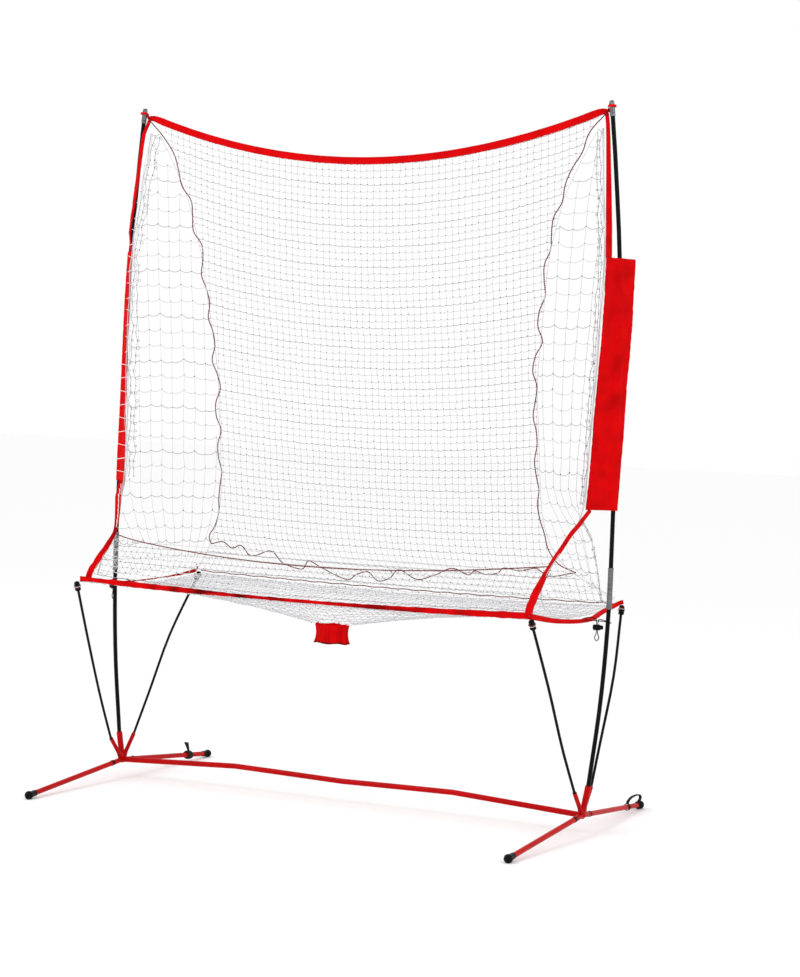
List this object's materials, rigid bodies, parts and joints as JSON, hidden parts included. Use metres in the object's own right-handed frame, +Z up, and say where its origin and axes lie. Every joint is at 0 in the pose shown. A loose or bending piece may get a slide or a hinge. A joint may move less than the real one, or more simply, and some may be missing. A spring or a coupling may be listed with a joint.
{
  "type": "pitching target net",
  "caption": "Tall rebounding catch net on two bowed poles, with a low catch tray, a ball chute and a tube stand.",
  "frame": {"origin": "on the floor, midway between the four feet, below the middle of the net", "axes": "+Z up, +Y to the back of the net, +X to the right seen from the front"},
  "size_m": [1.6268, 1.0302, 2.0117],
  "materials": {
    "red_paint": "glossy red paint on steel tube",
    "black_fibreglass": "black fibreglass, satin gloss",
    "steel": "plain drawn steel",
    "black_plastic": "moulded black plastic",
    "red_fabric": "woven red polyester with stitched edges",
    "white_net": "knotted white netting",
    "black_webbing": "black woven webbing",
    "black_elastic": "braided elastic cord"
  },
  "bodies": {
    "stand": {"back_net": "white_net", "chute_sleeve": "red_fabric", "crossbar": "red_paint", "elastic_cord_left": "black_elastic", "elastic_cord_right": "black_elastic", "front_guard_net": "white_net", "front_lip": "red_fabric", "front_strap_left": "red_fabric", "front_strap_right": "red_fabric", "hub_left": "red_paint", "hub_right": "red_paint", "pole_ferrule_left": "steel", "pole_ferrule_right": "steel", "pole_lower_left": "black_fibreglass", "pole_lower_right": "black_fibreglass", "pole_tip_left": "steel", "pole_tip_right": "steel", "pole_upper_left": "black_fibreglass", "pole_upper_right": "black_fibreglass", "rod_cap_front_left": "black_plastic", "rod_cap_front_right": "black_plastic", "rod_cap_rear_left": "black_plastic", "rod_cap_rear_right": "black_plastic", "rod_front_left": "black_fibreglass", "rod_front_right": "black_fibreglass", "rod_rear_left": "black_fibreglass", "rod_rear_right": "black_fibreglass", "side_band_left": "red_fabric", "side_band_right": "red_fabric", "side_binding_left": "red_fabric", "side_binding_right": "red_fabric", "side_net_left": "white_net", "side_net_right": "white_net", "top_strap": "red_fabric", "tray_net": "white_net", "wing_panel_left": "red_fabric", "wing_panel_right": "red_fabric"},
    "leg_front_right": {"leg_front_right": "red_paint", "leg_collar_front_right": "black_plastic", "foot_cap_front_right": "black_plastic"},
    "push_button_front_right": {"push_button_front_right": "steel"},
    "leg_rear_right": {"leg_rear_right": "red_paint", "leg_collar_rear_right": "black_plastic", "foot_cap_rear_right": "black_plastic"},
    "push_button_rear_right": {"push_button_rear_right": "steel"},
    "webbing_loop_right": {"webbing_loop_right": "black_webbing"},
    "cord_lock_right": {"cord_lock_right": "black_plastic"},
    "lock_button_right": {"lock_button_right": "black_plastic"},
    "leg_front_left": {"leg_front_left": "red_paint", "leg_collar_front_left": "black_plastic", "foot_cap_front_left": "black_plastic"},
    "push_button_front_left": {"push_button_front_left": "steel"},
    "leg_rear_left": {"leg_rear_left": "red_paint", "leg_collar_rear_left": "black_plastic", "foot_cap_rear_left": "black_plastic"},
    "push_button_rear_left": {"push_button_rear_left": "steel"},
    "webbing_loop_left": {"webbing_loop_left": "black_webbing"},
    "cord_lock_left": {"cord_lock_left": "black_plastic"},
    "lock_button_left": {"lock_button_left": "black_plastic"}
  },
  "joints": [
    {"name": "leg_pull_front_right", "type": "slide", "parent": "stand", "child": "leg_front_right", "axis": [-0.0159, -0.9965, -0.0819], "range_m": [0, 0.05]},
    {"name": "button_press_front_right", "type": "slide", "parent": "stand", "child": "push_button_front_right", "axis": [0.0013, 0.0819, -0.9966], "range_m": [0, 0.0035], "stiffness_N_per_m": 900},
    {"name": "leg_pull_rear_right", "type": "slide", "parent": "stand", "child": "leg_rear_right", "axis": [-0.0159, 0.9965, -0.0819], "range_m": [0, 0.05]},
    {"name": "button_press_rear_right", "type": "slide", "parent": "stand", "child": "push_button_rear_right", "axis": [0.0013, -0.0819, -0.9966], "range_m": [0, 0.0035], "stiffness_N_per_m": 900},
    {"name": "webbing_swing_right", "type": "hinge", "parent": "leg_rear_right", "child": "webbing_loop_right", "pos_m": [0.73789, 0.38366, 0.02097], "axis": [-0.0159, 0.9965, -0.0819], "range_deg": [-75, 75]},
    {"name": "lock_slide_right", "type": "slide", "parent": "stand", "child": "cord_lock_right", "axis": [0, 0, 1], "range_m": [-0.006, 0.005]},
    {"name": "lock_press_right", "type": "slide", "parent": "cord_lock_right", "child": "lock_button_right", "axis": [-0.891, -0.454, 0], "range_m": [0, 0.004], "stiffness_N_per_m": 600},
    {"name": "leg_pull_front_left", "type": "slide", "parent": "stand", "child": "leg_front_left", "axis": [0.0159, -0.9965, -0.0819], "range_m": [0, 0.05]},
    {"name": "button_press_front_left", "type": "slide", "parent": "stand", "child": "push_button_front_left", "axis": [-0.0013, 0.0819, -0.9966], "range_m": [0, 0.0035], "stiffness_N_per_m": 900},
    {"name": "leg_pull_rear_left", "type": "slide", "parent": "stand", "child": "leg_rear_left", "axis": [0.0159, 0.9965, -0.0819], "range_m": [0, 0.05]},
    {"name": "button_press_rear_left", "type": "slide", "parent": "stand", "child": "push_button_rear_left", "axis": [-0.0013, -0.0819, -0.9966], "range_m": [0, 0.0035], "stiffness_N_per_m": 900},
    {"name": "webbing_swing_left", "type": "hinge", "parent": "leg_rear_left", "child": "webbing_loop_left", "pos_m": [-0.73789, 0.38366, 0.02097], "axis": [0.0159, 0.9965, -0.0819], "range_deg": [-75, 75]},
    {"name": "lock_slide_left", "type": "slide", "parent": "stand", "child": "cord_lock_left", "axis": [0, 0, 1], "range_m": [-0.006, 0.005]},
    {"name": "lock_press_left", "type": "slide", "parent": "cord_lock_left", "child": "lock_button_left", "axis": [0.891, -0.454, 0], "range_m": [0, 0.004], "stiffness_N_per_m": 600}
  ]
}
